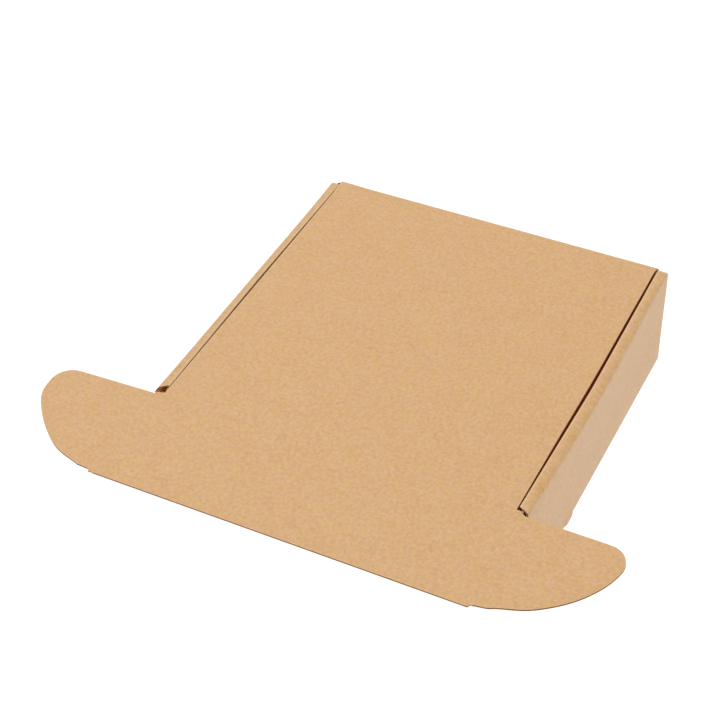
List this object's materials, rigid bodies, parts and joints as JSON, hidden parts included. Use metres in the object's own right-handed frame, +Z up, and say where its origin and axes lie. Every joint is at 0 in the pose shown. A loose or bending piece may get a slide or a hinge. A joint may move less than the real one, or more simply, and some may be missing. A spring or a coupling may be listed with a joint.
{
  "type": "corrugated mailer box",
  "caption": "Flat mailer box of thin kraft corrugated board, with a hinged lid, a long tuck flap and rounded ears that lock into the side walls.",
  "frame": {"origin": "middle of the tray's underside, on the surface that it stands on", "axes": "+X along the width to the right seen from the front, +Y from the tuck flap to the back wall, +Z up"},
  "size_m": [0.4282, 0.3632, 0.0913],
  "materials": {
    "kraft_tray": "matt",
    "kraft_lid": "matt",
    "kraft_flap": "matt",
    "kraft_ear": "matt"
  },
  "bodies": {
    "tray": {"tray": "kraft_tray"},
    "lid": {"lid": "kraft_lid"},
    "tuck_flap": {"tuck_flap": "kraft_flap"},
    "ear_left": {"ear_left": "kraft_ear"},
    "ear_right": {"ear_right": "kraft_ear"}
  },
  "joints": [
    {"name": "lid_hinge", "type": "hinge", "parent": "tray", "child": "lid", "pos_m": [0, 0.13675, 0.08725], "axis": [-1, 0, 0], "range_deg": [0, 180]},
    {"name": "flap_hinge", "type": "hinge", "parent": "lid", "child": "tuck_flap", "pos_m": [0, -0.13875, 0.08725], "axis": [1, 0, 0], "range_deg": [0, 90]},
    {"name": "ear_left_hinge", "type": "hinge", "parent": "tuck_flap", "child": "ear_left", "pos_m": [-0.138, -0.18, 0.08725], "axis": [0, -1, 0], "range_deg": [0, 90]},
    {"name": "ear_right_hinge", "type": "hinge", "parent": "tuck_flap", "child": "ear_right", "pos_m": [0.138, -0.18, 0.08725], "axis": [0, 1, 0], "range_deg": [0, 92.5]}
  ]
}
